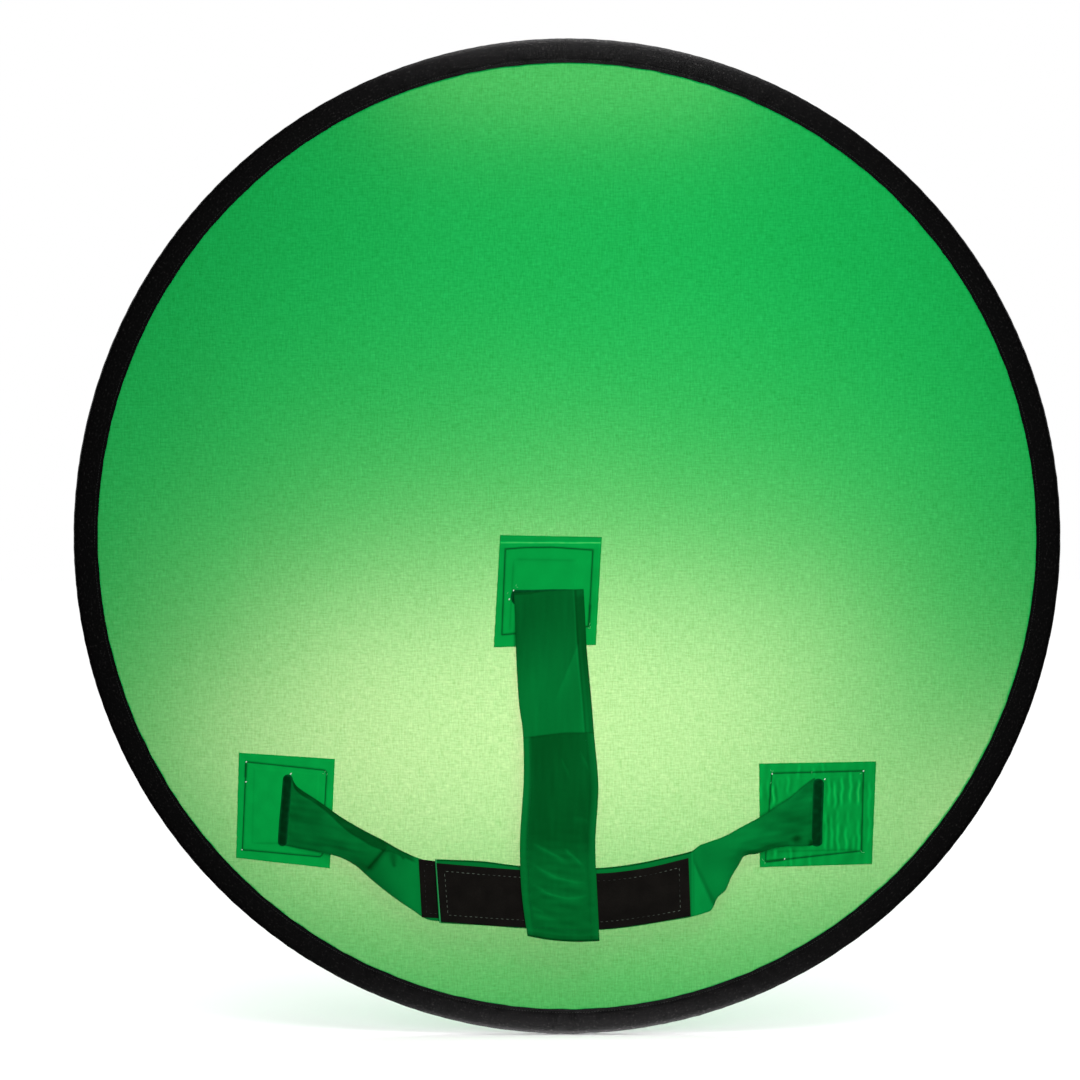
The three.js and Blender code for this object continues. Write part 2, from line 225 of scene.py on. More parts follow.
def grid_faces(rows, columns, offset=0, flip=False, wrap_rows=False, wrap_columns=False):
    r = np.arange(rows if wrap_rows else rows - 1)
    c = np.arange(columns if wrap_columns else columns - 1)
    r, c = np.meshgrid(r, c, indexing="ij")
    r2, c2 = (r + 1) % rows, (c + 1) % columns
    quads = np.stack([r * columns + c, r2 * columns + c, r2 * columns + c2, r * columns + c2], -1)
    quads = quads.reshape(-1, 4) + offset
    return quads[:, ::-1] if flip else quads


def shell(name, x, z, back, front, material, shade=None, cloth=None):
    """A thin closed piece between two depths over a grid of points.
    Its `cloth` coordinates, along and across, are grids of millimetres."""
    rows, columns = x.shape
    count = rows * columns
    index = np.arange(count).reshape(rows, columns)
    rim = np.concatenate([index[0, :-1], index[:-1, -1], index[-1, :0:-1], index[:0:-1, 0]])
    following = np.roll(rim, -1)
    walls = np.stack([rim, following, following + count, rim + count], 1)
    first, second = (np.stack([x, depth, z], -1).reshape(-1, 3) for depth in (front, back))
    flip = np.cross(first[columns] - first[0], first[1] - first[0])[1] > 0
    faces = np.concatenate([
        grid_faces(rows, columns, flip=flip), grid_faces(rows, columns, count, flip=not flip),
        walls[:, ::-1] if flip else walls,
    ])
    shade = None if shade is None else np.tile(shade.ravel(), 2)
    uvs = None if cloth is None else np.tile(np.stack(cloth, -1).reshape(-1, 2), (2, 1)) * MM
    return make_object(name, np.concatenate([first, second]), faces.tolist(), material, shade, uvs)


def unit(vectors):
    return vectors / np.linalg.norm(vectors, axis=-1, keepdims=True)


def run_along(points):
    """Distance of each point from the first, along the row."""
    return np.concatenate([[0], np.cumsum(np.linalg.norm(np.diff(points, axis=0), axis=1))])


def spline(points, count):
    """Centripetal Catmull-Rom through rows of points, resampled evenly along its length."""
    p = np.asarray(points, float)
    p = np.concatenate([[2 * p[0] - p[1]], p, [2 * p[-1] - p[-2]]])
    t = np.concatenate([[0], np.cumsum(np.sqrt(np.linalg.norm(np.diff(p, axis=0), axis=1)))])
    dense = []
    for i in range(1, len(p) - 2):
        s = np.linspace(t[i], t[i + 1], 40, endpoint=False)[:, None]
        mixed = lambda a, b, j, k: ((t[k] - s) * a + (s - t[j]) * b) / (t[k] - t[j])
        a1 = mixed(p[i - 1], p[i], i - 1, i)
        a2 = mixed(p[i], p[i + 1], i, i + 1)
        a3 = mixed(p[i + 1], p[i + 2], i + 1, i + 2)
        dense.append(mixed(mixed(a1, a2, i - 1, i + 1), mixed(a2, a3, i, i + 2), i, i + 1))
    dense = np.concatenate(dense + [p[-2:-1]])
    along = run_along(dense)
    want = np.linspace(0, along[-1], count)
    return np.stack([np.interp(want, along, dense[:, k]) for k in range(p.shape[1])], 1)


def ripple(x, z, seed, wavelength, waves=7, stretch=(1.0, 1.0)):
    """Smooth random waves of about unit height."""
    draw = np.random.RandomState(seed)
    total = np.zeros(np.broadcast(x, z).shape)
    for _ in range(waves):
        angle = draw.uniform(0, 2 * math.pi)
        size = 2 * math.pi / (wavelength * draw.uniform(0.7, 1.5))
        phase = draw.uniform(0, 2 * math.pi)
        total += np.sin(size * (x * math.cos(angle) / stretch[0] + z * math.sin(angle) / stretch[1]) + phase)
    return total / math.sqrt(waves / 2) / 1.4


def strip_grid(stations, along, across):
    """Points (x, z) of a strip from its edge pairs, with its own lengths along and across."""
    edges = spline(stations, along)
    v = np.linspace(0, 1, across)
    x, z = (edges[:, None, k] * (1 - v) + edges[:, None, k + 2] * v for k in (0, 1))
    s = np.repeat(run_along((edges[:, :2] + edges[:, 2:]) / 2)[:, None], across, 1)
    width = np.linalg.norm(edges[:, :2] - edges[:, 2:], axis=1)[:, None]
    return x, z, s, width * v, width


def edge_distance(w, width, s, length):
    return np.minimum(np.minimum(w, width - w), np.minimum(s, length - s))


def line_distance(x, z, a, b):
    """Signed distance from the line through a and b, positive on its left, and the place along it."""
    (ax, az), dx, dz = a, b[0] - a[0], b[1] - a[1]
    size = math.hypot(dx, dz)
    return (dx * (z - az) - dz * (x - ax)) / size, (dx * (x - ax) + dz * (z - az)) / size ** 2


def seam_distance(x, z, corners):
    """Distance from the sides of a closed outline."""
    best = np.full(x.shape, np.inf)
    for a, b in zip(corners, corners[1:] + corners[:1]):
        side, along = line_distance(x, z, a, b)
        beyond = np.maximum(np.maximum(-along, along - 1), 0) * math.dist(a, b)
        best = np.minimum(best, np.hypot(side, beyond))
    return best


def bump_at(distance, width):
    return np.exp(-(distance / width) ** 2)


# ---- Materials
class Look:
    """A node material in the making. `where` is in metres, along the cloth itself or in the object."""

    def __init__(self, name, roughness, on_cloth=False, tint=None, **sockets):
        self.material = bpy.data.materials.new(name)
        self.material.use_nodes = True
        self.tree = self.material.node_tree
        self.shader = self.tree.nodes["Principled BSDF"]
        self.shader.inputs["Roughness"].default_value = roughness
        if tint:
            self.shader.inputs["Specular Tint"].default_value = (*tint, 1)
        for key, value in sockets.items():
            self.shader.inputs[key.replace("_", " ")].default_value = value
        if on_cloth:
            self.where = self.node("ShaderNodeUVMap", uv_map="cloth").outputs["UV"]
        else:
            self.where = self.node("ShaderNodeTexCoord").outputs["Object"]

    def feed(self, socket, value):
        if isinstance(value, bpy.types.NodeSocket):
            self.tree.links.new(value, socket)
        else:
            socket.default_value = value

    def node(self, kind, inputs=None, **settings):
        made = self.tree.nodes.new(kind)
        for key, value in settings.items():
            setattr(made, key, value)
        for key, value in (inputs or {}).items():
            self.feed(made.inputs[key], value)
        return made

    def noise(self, scale, detail=2.0, rough=0.5):
        """Noise whose grain is 1 / scale metres, along each axis where three scales are given."""
        scale = scale if isinstance(scale, tuple) else (scale,) * 3
        moved = self.node("ShaderNodeMapping", {"Vector": self.where, "Scale": scale}).outputs["Vector"]
        made = self.node("ShaderNodeTexNoise", {"Vector": moved, "Scale": 1.0, "Detail": detail, "Roughness": rough})
        return made.outputs["Fac"]

    def uneven(self, scale, detail=2.0):
        """Noise between -0.5 and 0.5."""
        return self.spread(self.noise(scale, detail), -0.5, 0.5)

    def slubs(self, horizontal, vertical):
        """Thick and thin places of the yarns, along both directions of a plain weave."""
        return self.math("ADD", self.uneven(horizontal), self.uneven(vertical))

    def weave(self, spacing):
        """Threads in both directions of the cloth, `spacing` metres apart."""
        scale = 1 / (spacing * 20) * 2 * math.pi
        warp, weft = (
            self.node("ShaderNodeTexWave", {"Vector": self.where, "Scale": scale, "Detail": 0.0},
                      bands_direction=direction).outputs["Fac"] for direction in "XY")
        return self.math("ADD", warp, weft)

    def math(self, operation, a, b, c=0.0):
        return self.node("ShaderNodeMath", {0: a, 1: b, 2: c}, operation=operation).outputs[0]

    def plus(self, base, a, b):
        """base + a * b"""
        return self.math("MULTIPLY_ADD", a, b, base)

    def spread(self, value, low, high, start=0.3, stop=0.7):
        """Remaps start..stop, where noise lives, to low..high."""
        return self.node("ShaderNodeMapRange", {"Value": value, "From Min": start, "From Max": stop,
                                                "To Min": low, "To Max": high}).outputs[0]

    def mixed(self, share, a, b):
        made = self.node("ShaderNodeMix", {"Factor": share}, data_type="RGBA")
        for socket, value in zip([s for s in made.inputs if s.type == "RGBA"], (a, b)):
            self.feed(socket, (*value, 1) if isinstance(value, tuple) else value)
        return [s for s in made.outputs if s.type == "RGBA"][0]

    def colour(self, value):
        self.tree.links.new(value, self.shader.inputs["Base Color"])

    def bump(self, height, distance):
        made = self.node("ShaderNodeBump", {"Height": height, "Distance": distance, "Strength": 1.0})
        self.tree.links.new(made.outputs["Normal"], self.shader.inputs["Normal"])
        return made.outputs["Normal"]

    def rough(self, value):
        self.tree.links.new(value, self.shader.inputs["Roughness"])


def panel_look():
    look = Look("panel_cloth", 0.9, tint=(0.10, 0.95, 0.40), Specular_IOR_Level=0.05)
    slub = look.slubs((60, 1, 430), (430, 1, 60))
    fine = look.slubs((150, 1, 700), (700, 1, 150))
    cloudy = look.uneven(4)
    share = 0.5  # of the thin places, where more light comes through
    for unevenness, amount in ((slub, 0.26), (fine, 0.23), (cloudy, 0.05)):
        share = look.plus(share, unevenness, amount)
    thick, thin = (0.52, 0.75, 0.52), (1.48, 1.25, 1.48)

    def grainy(colour):
        return look.mixed(share, *(tuple(c * g for c, g in zip(colour, grain)) for grain in (thick, thin)))

    look.colour(grainy((0.003, 0.60, 0.104)))
    normal = look.bump(look.math("ADD", slub, fine), 0.00016)
    lit = look.node("ShaderNodeBsdfTranslucent", {"Color": grainy((0.133, 0.733, 0.244)), "Normal": normal})
    both = look.node("ShaderNodeMixShader", {0: 0.45, 1: look.shader.outputs[0], 2: lit.outputs[0]})
    look.tree.links.new(both.outputs[0], look.tree.nodes["Material Output"].inputs["Surface"])
    return look.material


def nylon_look(name, painted_highlight, light, dark, roughness, gloss=0.2, wrinkle=0.0004):
    """Plain nylon. Its "shade" attribute is painted light and shade: 0 for the brightest single layer, lit
    from behind, 1 for the darkest doubled or shadowed place, and -1 for a painted highlight on a crease."""
    look = Look(name, roughness, True, (0.02, 0.90, 0.20), Specular_IOR_Level=gloss)
    shade = look.node("ShaderNodeAttribute", attribute_name="shade").outputs["Fac"]
    base = look.mixed(look.math("MULTIPLY", shade, -1.0), look.mixed(shade, light, dark), painted_highlight)
    grain = look.slubs((110, 1600, 1600), (1600, 110, 1600))
    cloudy = look.uneven(18, 3.0)
    factor = look.plus(look.plus(1.0, grain, 0.05), cloudy, 0.10)
    look.colour(look.node("ShaderNodeVectorMath", {0: base, "Scale": factor}, operation="SCALE").outputs[0])
    thread_height = 0.00005
    creases = look.noise(60, 3.0, 0.55)
    look.bump(look.plus(look.weave(0.0007), creases, wrinkle / thread_height), thread_height)
    look.rough(look.plus(roughness, cloudy, 0.12))
    return look.material


def binding_look():
    look = Look("binding_cloth", 0.75, True, Specular_IOR_Level=0.025, Sheen_Weight=0.004, Sheen_Roughness=0.5)
    worn = look.spread(look.noise((240, 900, 900), 3.0, 0.6), 0, 1)
    specks = look.spread(look.noise((260, 420, 420), 1.0), 0, 1, 0.60, 0.74)
    base = look.mixed(worn, (0.0004, 0.0004, 0.0004), (0.0017, 0.0016, 0.0017))
    look.colour(look.mixed(look.math("MULTIPLY", specks, 0.3), base, (0.030, 0.028, 0.027)))
    puckers = look.noise((130, 45, 45), 3.0, 0.55)
    look.bump(look.plus(look.weave(0.0009), puckers, 7.0), 0.00009)
    return look.material


def pile_look(name, low, high, grain):
    look = Look(name, 0.95, True, Specular_IOR_Level=0.03, Sheen_Weight=0.015, Sheen_Roughness=0.6)
    tufts = look.noise(grain, 4.0, 0.65)
    worn = look.noise(40, 3.0)
    share = look.math("MULTIPLY", look.spread(tufts, 0, 1), look.spread(worn, 0.4, 1.0))
    look.colour(look.mixed(share, low, high))
    look.bump(tufts, 0.0006)
    return look.material


def thread_look(name, low, high, tint=(1, 1, 1), patches=2600):
    """`patches` is how many changes of colour there are in a metre."""
    look = Look(name, 0.5, tint=tint, Specular_IOR_Level=0.25)
    look.colour(look.mixed(look.spread(look.noise(patches, 1.0), 0, 1), low, high))
    look.bump(look.noise(2600, 1.0), 0.00015)
    return look.material


def steel_look():
    look = Look("spring_steel", 0.32, Metallic=1.0)
    brushed = look.noise((30, 2200, 2200), 3.0)
    look.colour(look.mixed(look.spread(brushed, 0, 1), (0.36, 0.37, 0.39), (0.58, 0.59, 0.61)))
    look.rough(look.spread(brushed, 0.24, 0.42))
    return look.material


def interfacing_look():
    look = Look("interfacing", 0.95, Specular_IOR_Level=0.1)
    fibres = look.noise(700, 4.0, 0.7)
    look.colour(look.mixed(look.spread(fibres, 0, 1), (0.02, 0.25, 0.07), (0.05, 0.4, 0.14)))
    look.bump(fibres, 0.0002)
    return look.material


PANEL_CLOTH = panel_look()
# each nylon's colours span painted light and shade: a painted highlight, its brightest lit layer, its darkest shaded
# one
PATCH_NYLON = nylon_look("patch_nylon", (0.10, 0.46, 0.12), (0.0012, 0.36, 0.056), (0.0004, 0.095, 0.011), 0.42,
                         wrinkle=0.0002)
STRAP_NYLON = nylon_look("strap_nylon", (0.10, 0.36, 0.20), (0.001, 0.212, 0.038), (0.0002, 0.040, 0.0052), 0.45)
BAR_NYLON = nylon_look("bar_nylon", (0.001, 0.09, 0.02), (0.0008, 0.075, 0.017), (0.0003, 0.015, 0.0034), 0.5,
                       gloss=0.12)
BINDING_CLOTH = binding_look()
LOOP_PILE = pile_look("loop_pile", (0.0022, 0.0019, 0.0016), (0.011, 0.0095, 0.008), 900)
HOOK_PILE = pile_look("hook_pile", (0.002, 0.002, 0.002), (0.014, 0.0135, 0.013), 1300)
GREEN_THREAD = thread_look("green_thread", (0.0005, 0.045, 0.009), (0.001, 0.09, 0.018), (0.1, 0.95, 0.4))
PALE_THREAD = thread_look("pale_thread", (0.62, 0.80, 0.64), (0.88, 0.95, 0.88))
FRAYED_THREAD = thread_look("frayed_thread", (0.02, 0.38, 0.10), (0.14, 0.58, 0.22))
BLACK_THREAD = thread_look("black_thread", (0.003, 0.0035, 0.003), (0.016, 0.017, 0.017))
# the pale patches of the tape's thread are painted glints on some of its stitches
TAPE_THREAD = thread_look("tape_thread", (0.004, 0.005, 0.004), (0.085, 0.11, 0.085), patches=40)
SPRING_STEEL = steel_look()
INTERFACING = interfacing_look()


# ---- Stitching
def tubes(name, lines, material, sharp=0):
    """Closed six-sided tubes. Each line is its centres, directions aside and up, and radii."""
    sides = 6
    angles = np.linspace(0, 2 * math.pi, sides, endpoint=False)[:, None]
    verts, faces = [], []
    for number, (centre, aside, up, radius) in enumerate(lines):
        rings = len(centre)
        base = number * rings * sides
        around = aside[:, None] * np.cos(angles) + up[:, None] * np.sin(angles)
        verts.append((centre[:, None] + radius[:, None, None] * around).reshape(-1, 3))
        faces += grid_faces(rings, sides, base, flip=True, wrap_columns=True).tolist()
        faces.append([base + k for k in reversed(range(sides))])
        faces.append([base + (rings - 1) * sides + k for k in range(sides)])
    return make_object(name, np.concatenate(verts), faces, material, sharp=sharp)


def stitches(name, paths, size, material, seed):
    """Separate stitches along paths of (x, depth, z) rows: each one arches from hole to hole.
    The size is the pitch, the length and the thickness of a stitch."""
    pitch, length, thick = size
    begin, end = [], []
    for path in paths:
        path = np.asarray(path, float)
        run = run_along(path)
        starts = np.arange(pitch / 2, run[-1] - pitch / 2, pitch)
        for ends, shift in ((begin, -length / 2), (end, length / 2)):
            ends.append(np.stack([np.interp(starts + shift, run, path[:, k]) for k in range(3)], 1))
    begin, end = np.concatenate(begin), np.concatenate(end)
    wander = np.random.RandomState(seed).uniform(-STITCH_WANDER, STITCH_WANDER, (len(begin), 2))
    up = np.array([[0.0, 1.0, 0.0]])
    t = np.linspace(0, 1, 6)[:, None]
    radius = thick / 2 * (0.35 + 0.65 * np.sin(math.pi * (0.08 + 0.84 * t[:, 0])) ** 0.6)
    lift = thick * (0.55 * np.sin(math.pi * t) - 0.25) * up
    lines = []
    for a, b, (first, last) in zip(begin, end, wander):
        aside = unit(np.cross(b - a, up))
        lines.append((a + (b - a) * t + aside * (first + (last - first) * t) + lift, aside, up, radius))
    return tubes(name, lines, material)


def thread_ends(name, spots, thick, material):
    """Short tails of cut thread."""
    t = np.linspace(0, 1, 7)[:, None]
    radius = thick / 2 * (0.45 + 0.55 * np.sin(math.pi * t[:, 0]) ** 0.5)
    lines = []
    for number, (x, z, direction, length, *depth) in enumerate(spots):
        turn = math.radians(direction)
        bend = 0.35 * math.sin(number * 2.1) * t ** 2
        px = x + length * (math.cos(turn) * (t - 0.5) - math.sin(turn) * bend)
        pz = z + length * (math.sin(turn) * (t - 0.5) + math.cos(turn) * bend)
        centre = np.concatenate([px, (depth or [FRONT])[0] + 0.5 * np.sin(math.pi * t), pz], 1)
        tangent = unit(np.gradient(centre, axis=0))
        aside = unit(np.cross(tangent, (0, 1, 0)))
        lines.append((centre, aside, np.cross(aside, tangent), radius))
    ends = tubes(name, lines, material, SHARP_ANGLE)
    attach(ends, "screen")


def around(corners, depth):
    """A closed row of points round an outline, about 1.5 mm apart."""
    rows = []
    for a, b in zip(corners, corners[1:] + corners[:1]):
        count = max(2, int(math.dist(a, b) / 1.5))
        rows += [(a[0] + (b[0] - a[0]) * k / count, depth, a[1] + (b[1] - a[1]) * k / count) for k in range(count)]
    return rows + rows[:1]


# ---- The disc
def add_panel():
    rings, spokes = 150, 480
    radius = np.concatenate([[0.5], np.linspace(6, PANEL_RADIUS, rings)])
    angle = np.linspace(0, 2 * math.pi, spokes, endpoint=False)
    r, a = np.meshgrid(radius, angle, indexing="ij")
    x, z = r * np.sin(a) * SQUEEZE, r * np.cos(a)
    free = 1 - smooth(560, 672, r)  # taut at the rim and under the patches
    for corners in PATCHES.values():
        cx, cz = np.mean(corners, 0)
        free = free * smooth(70, 190, np.hypot(x - cx, z - cz))
    slack = ripple(x, z, 3, 260, 6) * 0.9 + ripple(x, z, 4, 120, 6, (1, 2.2)) * 0.3
    tugs = np.sin(a * 46 + 1.7 * np.sin(a * 5)) * np.exp(-(678 - np.minimum(r, 678)) / 22) * 0.12
    verts = np.stack([x, PANEL_MIDDLE + slack * free + tugs, z], -1).reshape(-1, 3)
    faces = grid_faces(rings + 1, spokes, flip=True, wrap_columns=True).tolist()
    faces.append(list(reversed(range(spokes))))
    panel = make_object("panel_cloth_sheet", verts, faces, PANEL_CLOTH, sharp=0)
    stands_for(panel, "backdrop_panel")


BINDING_LINE = [  # middle of the folded cloth: [radius, depth from the panel's middle]
    (675.1, 1.3), (679.6, 2.25), (684, 3.2), (689, 4.25), (694, 5.15), (698.5, 5.7), (701, 5.93), (703.5, 5.98),
    (705.8, 5.75), (707.8, 4.75), (709.2, 2.8), (709.7, 0),
]
BINDING_CLOTH_HALF = 0.42  # half of its cloth's thickness
SEAM_RADIUS = 679.6
SEAM_DEPTH = 2.35  # of the rim's stitches, from the panel's middle


def add_binding():
    steps, columns = 900, 46
    line = np.array(BINDING_LINE + [(r, -d) for r, d in BINDING_LINE[-2::-1]])
    line[-1, 0] -= 1.6  # the rear flange is a little wider
    line = spline(line, columns)
    tangent = unit(np.gradient(line, axis=0))
    normal = np.stack([-tangent[:, 1], tangent[:, 0]], 1)
    normal = np.where(((line - (690, 0)) * normal).sum(1, keepdims=True) < 0, -normal, normal)
    angle = np.linspace(0, 2 * math.pi, steps, endpoint=False)
    place = angle * 695  # run along the rim
    pucker = ripple(place[:, None], line[:, 0] * 0.6, 11, 15, 8, (1, 3))
    crease = ripple(place[:, None], line[:, 0] * 0.4, 12, 42, 6, (1, 4))
    flange = 1 - smooth(688, 699, line[:, 0])
    outer = smooth(697, 703, line[:, 0])
    groove = bump_at(line[:, 0] - SEAM_RADIUS, 1.3)
    height = pucker * (0.10 + 0.12 * flange + 0.20 * outer) + crease * (0.16 + 0.08 * flange) - 0.28 * groove
    height = np.maximum(height, -0.2) * np.where(np.abs(line[:, 1]) < 1.5, 0.6, 1)
    edge = np.exp(-(line[:, 0] - 673.5) / 3) * ripple(place[:, None], 0 * line[:, 0], 13, 30, 7) * 0.45
    radius, depth = [], []
    for push in (height + BINDING_CLOTH_HALF, height - BINDING_CLOTH_HALF):
        radius.append(np.minimum(line[:, 0] + normal[:, 0] * push + edge, RADIUS))
        depth.append(line[:, 1] + normal[:, 1] * push + PANEL_MIDDLE)
    radius, depth = (np.concatenate([skin, lining[:, ::-1]], 1) for skin, lining in (radius, depth))
    x, z = radius * np.sin(angle)[:, None] * SQUEEZE, radius * np.cos(angle)[:, None]
    verts = np.stack([x, depth, z], -1).reshape(-1, 3)
    faces = grid_faces(steps, 2 * columns, wrap_rows=True, wrap_columns=True).tolist()
    run = run_along(line)
    uvs = np.stack(np.meshgrid(place, np.concatenate([run, run[::-1]]), indexing="ij"), -1).reshape(-1, 2) * MM
    binding = make_object("rim_binding_sleeve", verts, faces, BINDING_CLOTH, uvs=uvs)
    stands_for(binding, "rim_binding")
    turn = np.linspace(0, 2 * math.pi, 2400)
    r = SEAM_RADIUS + 0.15 * np.sin(turn * 37)
    for thread, side in (("needle", 1), ("bobbin", -1)):
        depth = PANEL_MIDDLE + side * SEAM_DEPTH + 0 * turn
        path = np.stack([r * np.sin(turn) * SQUEEZE, depth, r * np.cos(turn)], 1)
        seam = stitches(f"rim_{thread}_stitches", [path], RIM_STITCH, BLACK_THREAD, seed=5 + side)
        stands_for(seam, f"rim_{thread}_thread")


# ---- Patches
def quad_grid(corners, count):
    """Corners run top left, top right, bottom right, bottom left."""
    v, u = np.meshgrid(np.linspace(0, 1, count), np.linspace(0, 1, count), indexing="ij")
    x, z = ((a * (1 - u) + b * u) * (1 - v) + (d * (1 - u) + c * u) * v for a, b, c, d in zip(*corners))
    return x, z, u, v


def inside_amount(x, z, corners, soft):
    """0 outside a clockwise outline, 1 well inside it, with an edge `soft` wide."""
    amount = np.ones(x.shape)
    for a, b in zip(corners, corners[1:] + corners[:1]):
        side, _ = line_distance(x, z, a, b)
        amount = np.minimum(amount, smooth(-soft / 2, soft / 2, -side))
    return amount


STREAKS = [  # creases of the right patch, with painted highlights on their crests and painted shade in their hollows: x, top, bottom, strength
    (276.8, -354, -376, 0.5), (286.6, -349, -375, 0.35), (294.0, -355, -383, 0.95), (300.6, -346, -363, 0.3),
    (315.1, -342, -368, 0.45), (330.5, -325, -346, 0.35), (351.5, -331, -341, 0.55), (365.5, -322, -339, 0.35),
    (373.5, -346, -385, 0.5), (382.1, -351, -389, 0.7), (391.9, -344, -384, 0.75), (404.2, -336, -381, 0.7),
    (416.0, -348, -383, 0.9), (369.2, -394, -449, 0.5), (377.2, -399, -447, 0.45), (385.0, -390, -406, 0.35),
    (386.4, -409, -451, 0.65), (398.0, -415, -449, 0.6), (408.5, -427, -449, 0.4), (416.0, -404, -452, 0.5),
    (297.0, -446, -459, 0.6), (318.8, -444, -473, 0.5), (431.0, -350, -438, 0.4), (347.0, -452, -474, 0.3),
    (401.0, -392, -409, 0.3), (283.0, -398, -440, 0.3),
]


def streak_field(x, z):
    """Upright wavering creases, each with a hollow on both sides; used as painted highlights on the crests and
    painted shade in the hollows.
    """
    total = np.zeros(x.shape)
    for middle, top, bottom, strength in STREAKS:
        off = x - middle - 0.8 * np.sin(z / 7 + middle) - 0.4 * np.sin(z / 3.1 + 2 * middle)
        inside = smooth(bottom - 4, bottom + 7, z) * smooth(top + 4, top - 7, z)
        total += strength * inside * (bump_at(off, 1.8) - 0.35 * bump_at(np.abs(off) - 4.3, 2.0))
    return total


def patch_relief(place, x, z, u, v):
    """Height of a patch's front above its flat place, and its shade."""
    seam = seam_distance(x, z, PATCH_SEAMS[place])
    stiff = inside_amount(x, z, INTERFACINGS[place], 2.5)
    edge = edge_distance(u, 1, v, 1) * 150
    outside = 1 - inside_amount(x, z, PATCH_SEAMS[place], 4)
    seed, plain, shown = PATCH_TRAITS[place]
    height = 0.45 * stiff - 0.55 * bump_at(seam, 1.6)
    height += 0.16 * ripple(x, z, seed, 26, 8)
    height += outside * (0.35 + 0.5 * ripple(x, z, seed + 1, 60, 6)) * smooth(12, 0, edge)
    puckers = np.sin((x + z) / 2.6 + 1.5 * ripple(x, z, seed + 2, 40, 4))
    height += 0.07 * puckers * bump_at(seam, 6)
    # painted shade darker in the seam's groove, and darker along the cut edges
    shade = plain + 0.42 * bump_at(seam, 1.5) + 0.10 * smooth(2, 0, edge) + 0.03 * ripple(x, z, seed + 3, 34, 6)
    # painted shade along the edges of the interfacing underneath
    for a, b in shown:
        side, along = line_distance(x, z, INTERFACINGS[place][a], INTERFACINGS[place][b])
        interfacing_edge_shade = 0.17 * np.exp(-np.abs(side) / 1.6) + 0.04 * smooth(3, 0, side) * smooth(-12, 0, side)
        shade += interfacing_edge_shade * smooth(-0.02, 0.1, along) * smooth(1.02, 0.85, along)
    side, along = line_distance(x, z, *BACKSTITCHES[place])
    shade += 0.55 * bump_at(side, 1.9) * smooth(-0.05, 0.03, along) * smooth(1.05, 0.97, along)
    if place == "centre":                    # the pale crease of its upper hem
        # a painted highlight along the crease, and a faint lighter band just below it
        crease = z + 9.6 + 0.003 * (x + 20) + 0.12 * ripple(x, 0 * z, 24, 50, 4)
        lying = smooth(-97, -94, x) * smooth(50, 47, x)
        height += 0.45 * bump_at(crease, 1.1) * lying
        shade += (0.10 * ripple(x, 0 * z, 25, 9, 5) - 1.15) * bump_at(crease, 0.95) * lying
        shade -= 0.08 * smooth(0, -1.5, crease) * smooth(-8, -6.5, crease)
    if place == "right":
        streaks = streak_field(x, z)
        height += 0.35 * streaks
        # painted highlights on the streak crests and painted shade in their hollows
        shade += 0.07 * ripple(x, z, 46, 11, 8, (1, 6)) - 0.72 * streaks
    return height, shade


def add_patch(place):
    x, z, u, v = quad_grid(PATCHES[place], 130)
    height, shade = patch_relief(place, x, z, u, v)
    x = x + PATCH_FRAY * ripple(x, z, 51, 14, 6) * (edge_distance(u, 1, v, 1) < 0.004)
    back = PATCH_BACK + height
    patch = shell(f"{place}_patch_cloth", x, z, back, back + PATCH_CLOTH, PATCH_NYLON, np.clip(shade, -1, 1), (x, z))
    stands_for(patch, f"{place}_patch")

    x, z, *_ = quad_grid(INTERFACINGS[place], 40)
    back = INTERFACING_BACK + 0.03 * ripple(x, z, 52, 20, 5)
    lining = shell(f"{place}_interfacing_sheet", x, z, back, back + 0.5, INTERFACING)
    stands_for(lining, f"{place}_patch_interfacing")

    on_patch = PATCH_BACK + PATCH_CLOTH + 0.1
    again = [(x, on_patch + 0.4, z) for x, z in BACKSTITCHES[place]]
    paths = [around(PATCH_SEAMS[place], on_patch), again]
    row = stitches(f"{place}_patch_stitches", paths, PATCH_STITCH, GREEN_THREAD, seed=60)
    stands_for(row, f"{place}_patch_thread")


def add_seam_bar(place):
    """The folded end of a strap: two turns of cloth, sewn down into a soft round-ended roll."""
    x, z, u, v = quad_grid(SEAM_BARS[place], 100)
    level = place == "centre"                # the other two bars stand upright
    across, along = (v, u) if level else (u, v)
    length, top = (103, 1.5) if level else (102, 1.9)
    end = np.minimum(along, 1 - along) * length
    taper = np.sqrt(np.clip(1 - (1 - np.minimum(end / 7, 1)) ** 2, 0.02, 1))
    taper = taper * (1.08 + 0.025 * ripple(0 * x, along * length, 73, 60, 5) * np.sign(across - 0.5))
    axis = 0 if level else 1
    mid_x, mid_z = (grid.take((49, 50), axis).mean(axis, keepdims=True) for grid in (x, z))
    x, z = mid_x + (x - mid_x) * taper, mid_z + (z - mid_z) * taper
    side = np.abs(across - 0.5) * 2
    dome = np.sqrt(np.clip(1 - side ** 2.6, 0, 1)) * np.clip(taper, 0, 1) ** 0.5
    height = 0.22 + (top - 0.3) * dome * (1 + 0.05 * np.sin(along * length / 3.1 * 2 * math.pi))
    height += 0.10 * ripple(x, z, 71, 9, 6) * dome
    # painted shade: darker along the middle of the roll, lighter towards its sides and ends
    shade = 0.25 + 0.75 * smooth(1.0, 0.45, side) * smooth(0, 4, end) + 0.10 * ripple(x, z, 72, 12, 6)
    bar = shell(f"{place}_strap_fold", x, z, SEWN_BACK + 0 * x, SEWN_BACK + height, BAR_NYLON,
                np.clip(shade, 0, 1), (x, z))
    stands_for(bar, f"{place}_seam_bar")
